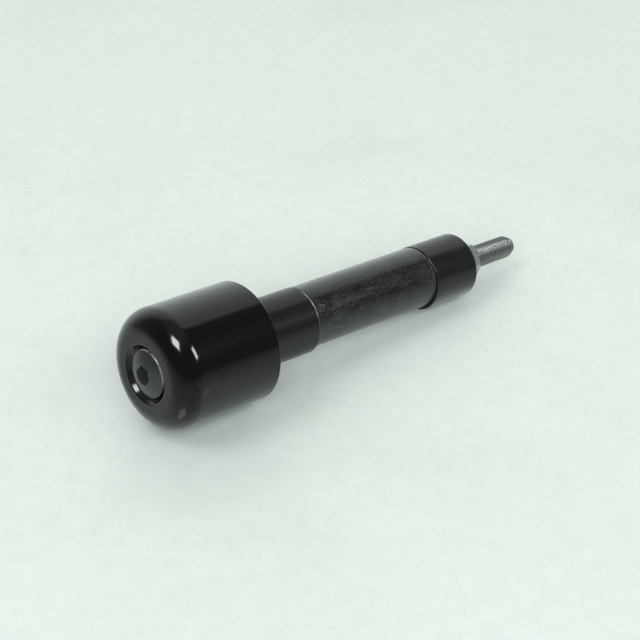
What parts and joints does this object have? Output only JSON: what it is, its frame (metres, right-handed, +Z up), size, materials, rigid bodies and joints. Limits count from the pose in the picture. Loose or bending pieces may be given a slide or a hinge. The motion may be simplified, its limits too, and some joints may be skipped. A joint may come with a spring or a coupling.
{
  "type": "bar end weight",
  "caption": "Handlebar end weight: a round knob with a spigot, and behind it a steel weight tube and a rubber expander on a long screw that clamps them inside the bar.",
  "frame": {"origin": "centre of the knob's rear face, on the screw's axis, where the knob seats on the end of the bar", "axes": "+X along the screw into the bar, from the knob to the screw's tip; +Z up; +Y completes a right-handed frame"},
  "size_m": [0.1256, 0.03, 0.03],
  "materials": {
    "knob_paint": "gloss black paint on the knob, satin black on its spigot, worn to bare metal along the spigot's far edge",
    "screw_steel": "dark satin head with a worn rim, plain grey steel on the thread",
    "tube_steel": "dark mottled steel with fine scratches",
    "expander_rubber": "smooth satin black rubber",
    "nut_zinc": "dull zinc plate"
  },
  "bodies": {
    "root": {"end_knob": "knob_paint", "clamp_screw": "screw_steel", "weight_tube": "tube_steel", "expander_bush": "expander_rubber", "clamp_nut": "nut_zinc"}
  },
  "joints": []
}
